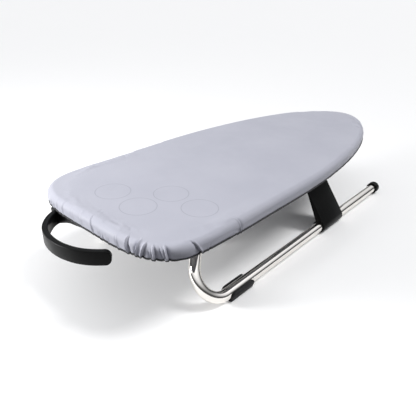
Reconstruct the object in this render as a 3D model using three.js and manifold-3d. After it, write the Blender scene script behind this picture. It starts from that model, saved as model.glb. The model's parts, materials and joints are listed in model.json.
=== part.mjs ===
// A folding tabletop ironing board. Millimetres, +Z up, +X towards the pointed nose.
// Board coordinates: x from the wide end's edge, y from the centre line, z from the table.
import * as THREE from 'three';
import { mergeVertices } from 'three/addons/utils/BufferGeometryUtils.js';
import Module from 'manifold-3d';

const wasm = await Module();
wasm.setup();

// ---- driving dimensions ------------------------------------------------------------
const LENGTH = 743;            // board, wide end to nose
const WIDTH = 300;             // board across the wide end
const HEIGHT = 144;            // table to ironing surface
const THICKNESS = 20.4;        // cover's lower edge to ironing surface
const WIDE_END_RADIUS = 140;   // length of the rounded wide end
const TAPER_START = 286;       // where the sides begin to curve in to the nose
const GAP = 0.3;               // clearance between neighbouring pieces

const FABRIC = 1.2;            // cover cloth
const HEM_WIDTH = 27;          // turned-in hem under the board
const EDGING = 1.5;            // black elastic edging sewn under the hem's outer edge
const EDGING_INSET = [2, 10];
const PAD = 5.4;               // felt pad
const SHEET = 1.2;             // steel deck sheet
const RIM_DEPTH = 9.6;         // deck rim
const RIM_INSET = 4.6;
const RAIL_DEPTH = 8.2;        // cross rails under the deck
const RAIL_WIDTH = 30;

const TUBE_RADIUS = 9;
const TUBE_WALL = 1.5;
const FOOT_BASE = 3;           // clip thickness under the lower tube
const SPLAY = THREE.MathUtils.degToRad(37.2);
const LOWER_TUBE_Y = 133;      // lower tube's distance from the centre line
const BEND_RADIUS = 37;
const BEND_ANGLE = THREE.MathUtils.degToRad(128.7);
const BEND_START_X = 99;       // the lower bend's furthest reach towards the wide end
const TUBE_END_X = 659;
const AXLE_BEND_RADIUS = 27;
const AXLE_END_X = 483;
const AXLE_Z = { near: 102, far: 76 };

const CAP_RADIUS = 12;
const FOOT_X = [139, 191];
const BRACKET_X = [411, 485];
const BRACKET_PLATE = 3;
const BRACKET_WRAP = 2.8;      // wall of the bracket's two sockets
const STOP_X = [BRACKET_X[0], BRACKET_X[0] + 30];
const RAIL_X = { rear: 207, front: 386 };
const BLOCK_WIDTH = 24;
const CLIP_X = { near: 280, far: 320 };               // centres of the storage clips
const CLIP_WIDTH = 20;

const HOOK_HEIGHT = 21;
const HOOK_THICKNESS = 8;
const HOOK_ROOT = { x0: 40, x1: 68, y0: 58, y1: 90, depth: 11 };
const HOOK_FLANGE = 6;         // plate joining the strap, the skirt and the root
const HOOK_SKIRT_X = [3, 9];
const HOOK_SEAT = 3;           // screw seats above the flange's underside
const SCREW_RADIUS = 2;
const SCREW_HEAD_RADIUS = 3.8;
const SCREW_HEAD = 2.2;
const SCREW_HOLE = SCREW_RADIUS + 0.4;
const SCREW_OFFSET = 20;       // hinge screws, either side of the axle

// ---- derived levels ----------------------------------------------------------------
const EDGE_Z = HEIGHT - THICKNESS;                    // cover's lower edge
const HEM_Z = EDGE_Z + EDGING + GAP;                  // underside of the turned-in hem
const PAD_TOP = HEIGHT - FABRIC - GAP;
const DECK_TOP = PAD_TOP - PAD - GAP;
const DECK_BOTTOM = DECK_TOP - SHEET;
const RAIL_BOTTOM = DECK_BOTTOM - GAP - RAIL_DEPTH;
const LOWER_TUBE_Z = TUBE_RADIUS + FOOT_BASE;
const SOCKET = TUBE_RADIUS + 0.3;                     // bores that hold a tube
const HOOK_TOP = EDGE_Z - 0.6;

const armOf = (leg) => (AXLE_Z[leg] - LOWER_TUBE_Z) / Math.cos(SPLAY);
const sideOf = (leg) => (leg === 'near' ? -1 : 1);
const axleY = (leg) => sideOf(leg) * (LOWER_TUBE_Y - armOf(leg) * Math.sin(SPLAY));
// Where the lower tube lies once the leg is folded flat.
const foldedY = (leg) => axleY(leg) - sideOf(leg) * armOf(leg);

// ---- materials ---------------------------------------------------------------------
const paint = (color, roughness, metalness) => () =>
  new THREE.MeshStandardMaterial({ color, roughness, metalness });
const coverCloth = paint(0xc3c6d6, 0.8, 0.1);
const felt = paint(0xe6e3da, 0.95, 0);
const blackElastic = paint(0x17181b, 0.9, 0);
const chromedSteel = paint(0xdcdad6, 0.12, 1);
const paintedSteel = paint(0xb9bcc2, 0.45, 0.3);
const zincSteel = paint(0xa9abb0, 0.35, 1);
const blackPlastic = paint(0x1b1c1f, 0.5, 0);
const greyPlastic = paint(0x55585e, 0.55, 0);
const blackRubber = paint(0x151617, 0.75, 0);

// ---- solid helpers -----------------------------------------------------------------
function toManifold(geometry) {
  const bare = geometry.index ? geometry.toNonIndexed() : geometry.clone();
  for (const name of Object.keys(bare.attributes)) {
    if (name !== 'position') bare.deleteAttribute(name);
  }
  const merged = mergeVertices(bare, 1e-4);
  return new wasm.Manifold(new wasm.Mesh({
    numProp: 3,
    vertProperties: merged.attributes.position.array,
    triVerts: new Uint32Array(merged.index.array),
  }));
}

function fromManifold(solid) {
  const mesh = solid.getMesh();
  const geometry = new THREE.BufferGeometry();
  geometry.setAttribute('position', new THREE.BufferAttribute(mesh.vertProperties, 3));
  geometry.setIndex(new THREE.BufferAttribute(mesh.triVerts, 1));
  return geometry;
}

const join = (...parts) =>
  fromManifold(parts.map(toManifold).reduce((sum, part) => sum.add(part)));
const cut = (body, ...tools) =>
  fromManifold(tools.map(toManifold).reduce((rest, tool) => rest.subtract(tool), toManifold(body)));
const common = (a, b) => fromManifold(toManifold(a).intersect(toManifold(b)));

function box(x, y, z) {
  const geometry = new THREE.BoxGeometry(x[1] - x[0], y[1] - y[0], z[1] - z[0]);
  return geometry.translate((x[0] + x[1]) / 2, (y[0] + y[1]) / 2, (z[0] + z[1]) / 2);
}

// A plan outline raised from z0 to z1, with optional rounded edges.
function slab(shape, z0, z1, round = 0, steps = 3) {
  const geometry = new THREE.ExtrudeGeometry(shape, {
    depth: z1 - z0 - 2 * round,
    curveSegments: 12,
    bevelEnabled: round > 0,
    bevelSize: round,
    bevelThickness: round,
    bevelOffset: -round,
    bevelSegments: steps,
  });
  return geometry.translate(0, 0, z0 + round);
}

// A (y, z) section run along x from x0 to x1.
function alongX(shape, x0, x1, round = 0) {
  const geometry = new THREE.ExtrudeGeometry(shape, {
    depth: x1 - x0 - 2 * round,
    curveSegments: 24,
    bevelEnabled: round > 0,
    bevelSize: round,
    bevelThickness: round,
    bevelOffset: -round,
    bevelSegments: 2,
  });
  geometry.translate(0, 0, round);
  const yzToWorld = new THREE.Matrix4().set(0, 0, 1, x0, 1, 0, 0, 0, 0, 1, 0, 0, 0, 0, 0, 1);
  return geometry.applyMatrix4(yzToWorld);
}

function circle(x, y, radius, sides = 24) {
  const points = [];
  for (let i = 0; i < sides; i += 1) {
    const a = (i / sides) * 2 * Math.PI;
    points.push(new THREE.Vector2(x + radius * Math.cos(a), y + radius * Math.sin(a)));
  }
  return new THREE.Shape(points);
}

const polygon = (pairs) => new THREE.Shape(pairs.map(([x, y]) => new THREE.Vector2(x, y)));
const rodX = (y, z, radius, x0, x1, sides = 24) => alongX(circle(y, z, radius, sides), x0, x1);
const rodZ = (x, y, radius, z0, z1, sides = 12) => slab(circle(x, y, radius, sides), z0, z1);

function arc(cx, cy, radius, from, to, steps) {
  const points = [];
  for (let i = 0; i <= steps; i += 1) {
    const a = from + ((to - from) * i) / steps;
    points.push([cx + radius * Math.cos(a), cy + radius * Math.sin(a)]);
  }
  return points;
}

// ---- board outline -----------------------------------------------------------------
const REAR_POWER = 4;
const NOSE_POWER = 1.98;

// Squared-off round wide end, straight sides, long elliptical nose.
function boardOutline(inset) {
  const half = WIDTH / 2 - inset;
  const rear = WIDE_END_RADIUS - inset;
  const nose = LENGTH - TAPER_START - inset;
  const upper = [];
  const rearSteps = 16;
  const noseSteps = 26;
  for (let i = 0; i <= rearSteps; i += 1) {
    const a = (i / rearSteps) * (Math.PI / 2);
    upper.push([
      WIDE_END_RADIUS - rear * Math.cos(a) ** (2 / REAR_POWER),
      half * Math.sin(a) ** (2 / REAR_POWER),
    ]);
  }
  for (let i = 0; i <= noseSteps; i += 1) {
    const a = (1 - i / noseSteps) * (Math.PI / 2);
    upper.push([
      TAPER_START + nose * Math.cos(a) ** (2 / NOSE_POWER),
      half * Math.sin(a) ** (2 / NOSE_POWER),
    ]);
  }
  upper[0] = [inset, 0];
  upper[upper.length - 1] = [LENGTH - inset, 0];
  const lower = upper.slice(1, -1).reverse().map(([x, y]) => [x, -y]);
  return polygon([...upper, ...lower].reverse());
}

// Half the board's width at x, for x on the straight sides or the nose.
function halfWidthAt(x) {
  const u = Math.min(1, Math.max(0, (x - TAPER_START) / (LENGTH - TAPER_START)));
  return (WIDTH / 2) * (1 - u ** NOSE_POWER) ** (1 / NOSE_POWER);
}

// ---- soft goods --------------------------------------------------------------------
const COVER_ROUND = 5;
const PAD_INSET = 3.2;
const PAD_ROUND = 1.5;

function coverShell() {
  const outer = slab(boardOutline(0), HEM_Z, HEIGHT, COVER_ROUND);
  const inner = slab(boardOutline(FABRIC), HEM_Z + FABRIC, HEIGHT - FABRIC, COVER_ROUND - FABRIC, 2);
  const mouth = slab(boardOutline(HEM_WIDTH), HEM_Z - FABRIC, HEM_Z + 2 * FABRIC);
  return cut(outer, inner, mouth);
}

const padSlab = () => slab(boardOutline(PAD_INSET), DECK_TOP + GAP, PAD_TOP, PAD_ROUND, 1);

// A flat elastic band all round, under the hem's outer edge.
function hemElastic() {
  const band = slab(boardOutline(EDGING_INSET[0]), EDGE_Z, EDGE_Z + EDGING);
  return cut(band, slab(boardOutline(EDGING_INSET[1]), EDGE_Z - EDGING, EDGE_Z + 2 * EDGING));
}

// ---- deck --------------------------------------------------------------------------
function deckSheet() {
  const outline = boardOutline(RIM_INSET + SHEET + 0.6);
  const pitch = 34;
  const holeRadius = 7;
  const keepOut = 30;
  for (let column = 0; column < 19; column += 1) {
    const x = 62 + column * pitch;
    const reach = halfWidthAt(x + holeRadius) - keepOut;
    const onRail = Object.values(RAIL_X).some(
      (rail) => Math.abs(x - rail) < RAIL_WIDTH / 2 + holeRadius,
    );
    if (onRail) continue;
    const shift = column % 2 === 0 ? 0 : pitch / 2;
    for (let row = -4; row <= 4; row += 1) {
      const y = row * pitch + shift;
      const onHook = x < HOOK_ROOT.x1 + 12 && y > HOOK_ROOT.y0 - 12;
      if (Math.abs(y) < reach && !onHook) outline.holes.push(circle(x, y, holeRadius, 12));
    }
  }
  return slab(outline, DECK_BOTTOM, DECK_TOP);
}

function deckRim() {
  const outer = slab(boardOutline(RIM_INSET), DECK_TOP - RIM_DEPTH, DECK_TOP);
  return cut(outer, slab(boardOutline(RIM_INSET + SHEET), 0, HEIGHT));
}

// Folded sheet channel across the board, welded to the deck's underside.
function crossRail(x) {
  const half = RAIL_WIDTH / 2;
  const wall = 1.5;
  const top = DECK_BOTTOM - GAP;
  const reach = halfWidthAt(x + half) - RIM_INSET - SHEET - 1;
  const section = polygon([
    [-half, RAIL_BOTTOM], [half, RAIL_BOTTOM], [half, top], [half - wall, top],
    [half - wall, RAIL_BOTTOM + wall], [wall - half, RAIL_BOTTOM + wall],
    [wall - half, top], [-half, top],
  ]);
  const rail = alongX(section, -reach, reach);
  rail.rotateZ(-Math.PI / 2);
  return rail.translate(x, 0, 0);
}

// ---- hinge blocks, stops and storage clips -----------------------------------------
const BLOCK_FLANGE_HALF = 26;
const BLOCK_FLANGE = 4;
const BLOCK_WALL = 4;

function hingeBlock(leg, x) {
  const y = axleY(leg);
  const z = AXLE_Z[leg];
  const top = RAIL_BOTTOM - GAP;
  const radius = SOCKET + BLOCK_WALL;
  const section = polygon([
    [y - BLOCK_FLANGE_HALF, top], [y - BLOCK_FLANGE_HALF, top - BLOCK_FLANGE],
    [y - radius, top - BLOCK_FLANGE],
    ...arc(y, z, radius, Math.PI, 2 * Math.PI, 12),
    [y + radius, top - BLOCK_FLANGE],
    [y + BLOCK_FLANGE_HALF, top - BLOCK_FLANGE], [y + BLOCK_FLANGE_HALF, top],
  ]);
  section.holes.push(circle(y, z, SOCKET + 0.1));
  const block = alongX(section, x - BLOCK_WIDTH / 2, x + BLOCK_WIDTH / 2);
  const holes = [-1, 1].map((s) =>
    rodZ(x, y + s * SCREW_OFFSET, SCREW_HOLE, top - BLOCK_FLANGE - 1, top + 1));
  return cut(block, ...holes);
}

// Each screw's head is under its flange; the shank enters the steel above.
function screw(x, y, flangeBottom, shank) {
  const headTop = flangeBottom - GAP;
  return join(
    rodZ(x, y, SCREW_HEAD_RADIUS, headTop - SCREW_HEAD, headTop),
    rodZ(x, y, SCREW_RADIUS, headTop - SCREW_HEAD / 2, headTop + shank),
  );
}

function hingeScrew(leg, x, s) {
  const under = RAIL_BOTTOM - GAP - BLOCK_FLANGE;
  return screw(x, axleY(leg) + s * SCREW_OFFSET, under, BLOCK_FLANGE + GAP);
}

// The block that the leg's heel rests against when the leg is open.
const STOP_FLANGE = 4;
const HEEL_HALF = 4;
const HEEL_TOP = 21;

function legStop(leg) {
  const inward = -sideOf(leg);
  const y = axleY(leg);
  const face = y + inward * (HEEL_HALF + GAP);
  const back = y + inward * (HEEL_HALF + GAP + 9);
  const end = y + inward * (HEEL_HALF + GAP + 25);
  const top = DECK_BOTTOM - GAP;
  const foot = AXLE_Z[leg] + 14;
  const points = [
    [face, foot], [back, foot], [back, top - STOP_FLANGE], [end, top - STOP_FLANGE],
    [end, top], [face, top],
  ];
  const section = polygon(inward > 0 ? points : points.reverse());
  const block = alongX(section, STOP_X[0], STOP_X[1]);
  const holes = stopScrewPlaces(leg).map(([x, sy]) =>
    rodZ(x, sy, SCREW_HOLE, top - STOP_FLANGE - 1, top + 1));
  return cut(block, ...holes);
}

function stopScrewPlaces(leg) {
  const y = axleY(leg) - sideOf(leg) * (HEEL_HALF + GAP + 17);
  return [STOP_X[0] + 7, STOP_X[1] - 7].map((x) => [x, y]);
}

const CLIP_FLANGE = 3;

// A U-shaped clip that takes the folded lower tube from below.
function storageClip(leg) {
  const y = foldedY(leg);
  const z = AXLE_Z[leg];
  const top = DECK_BOTTOM - GAP;
  const inner = TUBE_RADIUS + 0.4;
  const outer = inner + 2.6;
  const flangeHalf = 22;
  const section = polygon([
    [y - flangeHalf, top], [y - flangeHalf, top - CLIP_FLANGE], [y - outer, top - CLIP_FLANGE],
    [y - outer, z - 3], [y - inner, z - 3],
    ...arc(y, z, inner, Math.PI, 0, 12),
    [y + inner, z - 3], [y + outer, z - 3], [y + outer, top - CLIP_FLANGE],
    [y + flangeHalf, top - CLIP_FLANGE], [y + flangeHalf, top],
  ]);
  const clip = alongX(section, CLIP_X[leg] - CLIP_WIDTH / 2, CLIP_X[leg] + CLIP_WIDTH / 2);
  const holes = clipScrewPlaces(leg).map(([x, sy]) =>
    rodZ(x, sy, SCREW_HOLE, top - CLIP_FLANGE - 1, top + 1));
  return cut(clip, ...holes);
}

const clipScrewPlaces = (leg) => [-17, 17].map((dy) => [CLIP_X[leg], foldedY(leg) + dy]);

// Screws through a stop or clip flange, up to the deck sheet's underside.
const deckScrew = ([x, y], flange) => screw(x, y, DECK_BOTTOM - GAP - flange, flange + GAP);

// ---- hanging hook ------------------------------------------------------------------
const HOOK_BOTTOM = HOOK_TOP - HOOK_HEIGHT;

// The strap's centre line in plan, from its root round the wide end to its free end.
const HOOK_PATH = [
  [50, 80], [25, 80.5], [8, 79], [-5, 74.6], [-17.5, 65], [-29, 51.5], [-36.3, 35],
  [-39.8, 14], [-38.6, -6], [-32, -27.5], [-22.3, -43], [-12, -54], [-4, -60.5],
];

function hookCurve() {
  const points = HOOK_PATH.map(([x, y]) => new THREE.Vector3(x, y, 0));
  return new THREE.CatmullRomCurve3(points, false, 'centripetal');
}

// Both long sides of the strap, which stands on edge.
function hookStrapOutline() {
  const curve = hookCurve();
  const steps = 34;
  const half = HOOK_THICKNESS / 2;
  const left = [];
  const right = [];
  for (let i = 0; i <= steps; i += 1) {
    const p = curve.getPointAt(i / steps);
    const t = curve.getTangentAt(i / steps);
    left.push([p.x - t.y * half, p.y + t.x * half]);
    right.push([p.x + t.y * half, p.y - t.x * half]);
  }
  return [...right, ...left.reverse()];
}

// A long prism whose -Y end is a half circle, turned to fit the strap's free end.
function roundedEnd() {
  const curve = hookCurve();
  const tip = curve.getPointAt(1);
  const heading = curve.getTangentAt(1);
  const radius = HOOK_HEIGHT / 2;
  const reach = 300;
  const side = polygon([
    [reach, HOOK_TOP],
    ...arc(radius, HOOK_TOP - radius, radius, Math.PI / 2, 1.5 * Math.PI, 14),
    [reach, HOOK_BOTTOM],
  ]);
  const prism = alongX(side, -reach, reach);
  prism.rotateZ(Math.atan2(heading.x, -heading.y));
  return prism.translate(tip.x, tip.y, 0);
}

// The skirt inside the board's edge: deep beside the strap, fading out along the wide end.
function hookSkirt() {
  const side = polygon([
    [12, HOOK_TOP], [12, HOOK_TOP - 2], [24, HOOK_TOP - 4.2], [42, HOOK_TOP - 7],
    [52, HOOK_TOP - 10.2], [63, HOOK_TOP - 14.6], [70, HOOK_TOP - 18], [78, HOOK_BOTTOM + 0.5],
    [83, HOOK_BOTTOM + 0.5], [83, HOOK_TOP],
  ]);
  return alongX(side, ...HOOK_SKIRT_X);
}

function hangingHook(outline) {
  const strap = common(slab(polygon(outline), HOOK_BOTTOM, HOOK_TOP, 1.8, 3), roundedEnd());
  const { x0, x1, y0, y1, depth } = HOOK_ROOT;
  const flangeBottom = HOOK_TOP - HOOK_FLANGE;
  const flange = box([HOOK_SKIRT_X[0], x1], [y0, y1], [flangeBottom, HOOK_TOP]);
  const root = box([x0, x1], [y0, y1], [HOOK_TOP - depth, DECK_BOTTOM - GAP]);
  const seat = flangeBottom + HOOK_SEAT;
  const holes = hookScrewPlaces().map(([x, y]) => rodZ(x, y, SCREW_HOLE, HOOK_BOTTOM, HEIGHT));
  const recesses = hookScrewPlaces().map(([x, y]) =>
    rodZ(x, y, SCREW_HEAD_RADIUS + 0.6, HOOK_BOTTOM, seat));
  return cut(join(strap, hookSkirt(), flange, root), ...holes, ...recesses);
}

const hookScrewPlaces = () => [
  [HOOK_ROOT.x1 - 7, HOOK_ROOT.y0 + 7],
  [HOOK_ROOT.x1 - 7, HOOK_ROOT.y1 - 7],
];

function hookScrew([x, y]) {
  const seat = HOOK_TOP - HOOK_FLANGE + HOOK_SEAT;
  return screw(x, y, seat, DECK_BOTTOM - seat);
}

// ---- legs --------------------------------------------------------------------------
// The bent tube's centre line, in the leg's own plane: x along the board, u up the slope.
// Five stretches in turn: lower tube, lower bend, riser, upper bend, axle.
function legStretches(leg) {
  const arm = armOf(leg);
  const turn = Math.PI - BEND_ANGLE;                  // riser's angle to the board
  const lowerCentre = [BEND_START_X + BEND_RADIUS, BEND_RADIUS];
  const riserStart = [
    lowerCentre[0] - BEND_RADIUS * Math.sin(turn),
    lowerCentre[1] + BEND_RADIUS * Math.cos(turn),
  ];
  const upperTangent = AXLE_BEND_RADIUS * Math.tan(turn / 2);
  const riserHeight = arm - riserStart[1] - upperTangent * Math.sin(turn);
  const riserEnd = [riserStart[0] + riserHeight / Math.tan(turn), riserStart[1] + riserHeight];
  const axleStart = [riserEnd[0] + upperTangent * (1 + Math.cos(turn)), arm];
  const upperCentre = [axleStart[0], arm - AXLE_BEND_RADIUS];
  const lowerBend = arc(...lowerCentre, BEND_RADIUS, 1.5 * Math.PI, 1.5 * Math.PI - BEND_ANGLE, 15);
  const upperBend = arc(...upperCentre, AXLE_BEND_RADIUS, Math.PI / 2 + turn, Math.PI / 2, 6);
  return [[TUBE_END_X, 0], ...lowerBend, ...upperBend, [AXLE_END_X, arm]];
}

class LegPath extends THREE.Curve {
  constructor(leg) {
    super();
    const side = sideOf(leg);
    this.points = legStretches(leg).map(([x, u]) => new THREE.Vector3(
      x,
      side * (LOWER_TUBE_Y - u * Math.sin(SPLAY)),
      LOWER_TUBE_Z + u * Math.cos(SPLAY),
    ));
    this.last = this.points.length - 1;
  }

  // One step of the extrusion for each listed point, however far apart they are.
  getPointAt(t) {
    return this.points[Math.round(t * this.last)].clone();
  }

  getTangentAt(t) {
    const i = Math.round(t * this.last);
    const before = this.points[i].clone().sub(this.points[Math.max(i - 1, 0)]).normalize();
    const after = this.points[Math.min(i + 1, this.last)].clone().sub(this.points[i]).normalize();
    return before.add(after).normalize();
  }
}

function legTube(leg) {
  const path = new LegPath(leg);
  const section = circle(0, 0, TUBE_RADIUS, 24);
  section.holes.push(circle(0, 0, TUBE_RADIUS - TUBE_WALL, 12));
  return new THREE.ExtrudeGeometry(section, { steps: path.last, extrudePath: path, bevelEnabled: false });
}

// Leg-plane point (u up the slope, v outwards from it) to board (y, z).
function legPoint(leg, [u, v]) {
  const side = sideOf(leg);
  return [
    side * (LOWER_TUBE_Y - u * Math.sin(SPLAY) + v * Math.cos(SPLAY)),
    LOWER_TUBE_Z + u * Math.cos(SPLAY) + v * Math.sin(SPLAY),
  ];
}

// Wedge-sided plate from the axle down to the lower tube, with a socket round each.
function bracket(leg) {
  const arm = armOf(leg);
  const outer = TUBE_RADIUS + BRACKET_WRAP;
  const plateBack = outer - BRACKET_PLATE;
  const socketTop = arm - Math.sqrt(outer ** 2 - plateBack ** 2);
  const wedgeTop = Math.min(64, arm - outer - 6);
  const ring = [
    ...arc(arm, 0, outer, Math.PI / 2, Math.atan2(plateBack, socketTop - arm) - 2 * Math.PI, 20),
    [wedgeTop, plateBack],
    [outer - 1, -1],
    ...arc(0, 0, outer, -0.1, Math.PI / 2 - 2 * Math.PI, 18),
  ].map((point) => legPoint(leg, point));
  const section = polygon(sideOf(leg) < 0 ? ring : ring.reverse());
  section.holes.push(circle(axleY(leg), AXLE_Z[leg], SOCKET));
  section.holes.push(circle(sideOf(leg) * LOWER_TUBE_Y, LOWER_TUBE_Z, SOCKET));
  const plate = alongX(section, BRACKET_X[0], BRACKET_X[1]);
  const y = axleY(leg);
  const heel = box(STOP_X, [y - HEEL_HALF, y + HEEL_HALF], [AXLE_Z[leg] + SOCKET + 0.6, AXLE_Z[leg] + HEEL_TOP]);
  return cut(join(plate, heel), cornerCutter(leg), ...rivets(leg, 0.3));
}

// Rounds the bracket's lower corner on its nose side.
function cornerCutter(leg) {
  const radius = 12;
  const low = -TUBE_RADIUS - BRACKET_WRAP - 1;
  const end = BRACKET_X[1];
  const corner = polygon([
    [end + 2, low + radius],
    ...arc(end - radius, low + radius, radius, 0, -Math.PI / 2, 8),
    [end - radius, low - 2], [end + 2, low - 2],
  ].reverse());
  const tool = slab(corner, SOCKET + 0.5, 40);
  const [y0, z0] = legPoint(leg, [0, 0]);
  const [uy, uz] = legPoint(leg, [1, 0]).map((value, i) => value - [y0, z0][i]);
  const [vy, vz] = legPoint(leg, [0, 1]).map((value, i) => value - [y0, z0][i]);
  const place = new THREE.Matrix4().set(1, 0, 0, 0, 0, uy, vy, y0, 0, uz, vz, z0, 0, 0, 0, 1);
  tool.applyMatrix4(place);
  return place.determinant() < 0 ? flipped(tool) : tool;
}

function flipped(geometry) {
  const position = geometry.attributes.position;
  for (let i = 0; i < position.count; i += 3) {
    const a = new THREE.Vector3().fromBufferAttribute(position, i);
    const b = new THREE.Vector3().fromBufferAttribute(position, i + 1);
    position.setXYZ(i, b.x, b.y, b.z);
    position.setXYZ(i + 1, a.x, a.y, a.z);
  }
  return geometry;
}

// Two rivets fix the bracket to the axle and to the lower tube, on its inner side.
function rivets(leg, extra = 0) {
  const x = BRACKET_X[1] - 14;
  const outer = TUBE_RADIUS + BRACKET_WRAP;
  return [0, armOf(leg)].map((u) => {
    const start = legPoint(leg, [u, -SOCKET - 0.1]);
    const end = legPoint(leg, [u, -outer - 0.9]);
    const length = Math.hypot(end[0] - start[0], end[1] - start[1]);
    const rod = new THREE.CylinderGeometry(3 + extra, 3 + extra, length + extra * 4, 10);
    const direction = new THREE.Vector3(0, end[0] - start[0], end[1] - start[1]).normalize();
    rod.applyQuaternion(new THREE.Quaternion().setFromUnitVectors(new THREE.Vector3(0, 1, 0), direction));
    return rod.translate(x, (start[0] + end[0]) / 2, (start[1] + end[1]) / 2);
  });
}

// U-shaped clip pushed on from below; the tube shows through its open top.
function footClip(leg) {
  const y = sideOf(leg) * LOWER_TUBE_Y;
  const z = LOWER_TUBE_Z;
  const wall = 2.6;
  const outer = SOCKET + wall;
  const lip = 5;
  const flat = 7;
  const half = Math.sqrt(SOCKET ** 2 - lip ** 2);
  const bore = Math.atan2(lip, half);
  const section = polygon([
    [y - outer, z + lip], [y - outer, z - 2], [y - flat - 2, 1], [y - flat, 0],
    [y + flat, 0], [y + flat + 2, 1], [y + outer, z - 2], [y + outer, z + lip],
    ...arc(y, z, SOCKET, bore, -Math.PI - bore, 16),
  ]);
  const clip = alongX(section, FOOT_X[0], FOOT_X[1]);
  return common(clip, sideRounding(FOOT_X, [-1, z + lip + 1], 7));
}

// A board-wide prism that rounds the ends of a clip seen from the side.
function sideRounding([x0, x1], [z0, z1], radius) {
  const top = z1 - 1;
  const outline = polygon([
    [x0, z0], [x1, z0],
    ...arc(x1 - radius, top - radius, radius, 0, Math.PI / 2, 5),
    ...arc(x0 + radius, top - radius, radius, Math.PI / 2, Math.PI, 5),
  ]);
  const prism = slab(outline, -WIDTH, WIDTH);
  return prism.rotateX(Math.PI / 2);
}

// Flanged plug closing the lower tube's open end.
function endCap(leg) {
  const y = sideOf(leg) * LOWER_TUBE_Y;
  const stem = TUBE_RADIUS - TUBE_WALL - 0.6;
  const face = TUBE_END_X + GAP;
  const flange = rodX(y, LOWER_TUBE_Z, CAP_RADIUS, face, face + 7);
  const sleeve = rodX(y, LOWER_TUBE_Z, CAP_RADIUS, face - 6, face + 1);
  const bore = rodX(y, LOWER_TUBE_Z, SOCKET, face - 7, face);
  const plug = rodX(y, LOWER_TUBE_Z, stem, face - 18, face + 1, 12);
  return join(cut(join(sleeve, flange), bore), plug);
}

function axlePlug(leg) {
  const y = axleY(leg);
  const stem = TUBE_RADIUS - TUBE_WALL - 0.6;
  const face = AXLE_END_X + GAP;
  return join(
    rodX(y, AXLE_Z[leg], TUBE_RADIUS, face, face + 2.5),
    rodX(y, AXLE_Z[leg], stem, face - 15, face + 1, 12),
  );
}

// ---- assembly ----------------------------------------------------------------------
const hookOutline = hookStrapOutline();
const hookReach = -Math.min(...hookOutline.map(([x]) => x));

const board = new THREE.Group();
board.position.x = -(LENGTH - hookReach) / 2;

function add(name, geometry, material) {
  const mesh = new THREE.Mesh(geometry, material());
  mesh.name = name;
  board.add(mesh);
}

add('cover', coverShell(), coverCloth);
add('pad', padSlab(), felt);
add('hem_elastic', hemElastic(), blackElastic);
add('deck_sheet', deckSheet(), paintedSteel);
add('deck_rim', deckRim(), paintedSteel);
add('hanging_hook', hangingHook(hookOutline), blackPlastic);
hookScrewPlaces().forEach((place, i) => add(`hook_screw_${i + 1}`, hookScrew(place), zincSteel));

for (const [end, x] of Object.entries(RAIL_X)) {
  add(`${end}_cross_rail`, crossRail(x), paintedSteel);
  for (const leg of ['near', 'far']) {
    add(`${leg}_hinge_block_${end}`, hingeBlock(leg, x), greyPlastic);
    add(`${leg}_hinge_screw_${end}_1`, hingeScrew(leg, x, -1), zincSteel);
    add(`${leg}_hinge_screw_${end}_2`, hingeScrew(leg, x, 1), zincSteel);
  }
}

for (const leg of ['near', 'far']) {
  add(`${leg}_leg_stop`, legStop(leg), greyPlastic);
  stopScrewPlaces(leg).forEach((place, i) =>
    add(`${leg}_stop_screw_${i + 1}`, deckScrew(place, STOP_FLANGE), zincSteel));
  add(`${leg}_storage_clip`, storageClip(leg), greyPlastic);
  clipScrewPlaces(leg).forEach((place, i) =>
    add(`${leg}_clip_screw_${i + 1}`, deckScrew(place, CLIP_FLANGE), zincSteel));
  add(`${leg}_leg_tube`, legTube(leg), chromedSteel);
  add(`${leg}_leg_bracket`, bracket(leg), blackPlastic);
  rivets(leg).forEach((rivet, i) =>
    add(`${leg}_bracket_rivet_${['lower', 'upper'][i]}`, rivet, zincSteel));
  add(`${leg}_foot_clip`, footClip(leg), blackRubber);
  add(`${leg}_end_cap`, endCap(leg), blackPlastic);
  add(`${leg}_axle_plug`, axlePlug(leg), blackPlastic);
}

export default board;
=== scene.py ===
"""Tabletop ironing board: the looks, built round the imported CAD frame. Metres, +Z up, +X to the nose."""

import json
import math
import random
from collections import namedtuple

import bmesh
import bpy
import numpy as np
from mathutils import Matrix, Vector


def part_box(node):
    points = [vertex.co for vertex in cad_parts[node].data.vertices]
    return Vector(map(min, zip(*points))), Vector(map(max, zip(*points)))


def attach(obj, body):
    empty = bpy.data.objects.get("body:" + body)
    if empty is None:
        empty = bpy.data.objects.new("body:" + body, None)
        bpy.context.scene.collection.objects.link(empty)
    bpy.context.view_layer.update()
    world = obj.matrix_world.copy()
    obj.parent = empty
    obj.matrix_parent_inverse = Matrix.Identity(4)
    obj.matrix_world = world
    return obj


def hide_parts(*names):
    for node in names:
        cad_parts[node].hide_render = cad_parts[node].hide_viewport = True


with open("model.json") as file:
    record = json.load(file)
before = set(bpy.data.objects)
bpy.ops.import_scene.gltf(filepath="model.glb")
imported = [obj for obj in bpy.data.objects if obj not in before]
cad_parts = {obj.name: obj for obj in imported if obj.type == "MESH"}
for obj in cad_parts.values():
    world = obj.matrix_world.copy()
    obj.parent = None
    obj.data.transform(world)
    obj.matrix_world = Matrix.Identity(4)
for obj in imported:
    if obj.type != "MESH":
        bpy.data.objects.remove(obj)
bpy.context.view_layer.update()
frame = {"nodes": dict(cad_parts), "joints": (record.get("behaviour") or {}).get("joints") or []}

MM = 0.001
COVER_LOW, COVER_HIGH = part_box("cover")
BOARD_X = COVER_LOW.x                       # the wide end's edge
LENGTH = COVER_HIGH.x - COVER_LOW.x
HALF_WIDTH = COVER_HIGH.y
TOP_Z = COVER_HIGH.z
EDGE_Z = COVER_LOW.z
WIDE_END = 140 * MM                         # length of the rounded wide end
TAPER_START = 286 * MM                      # where the sides begin to curve in to the nose
WIDE_END_POWER = 4.0
NOSE_POWER = 1.98
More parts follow.
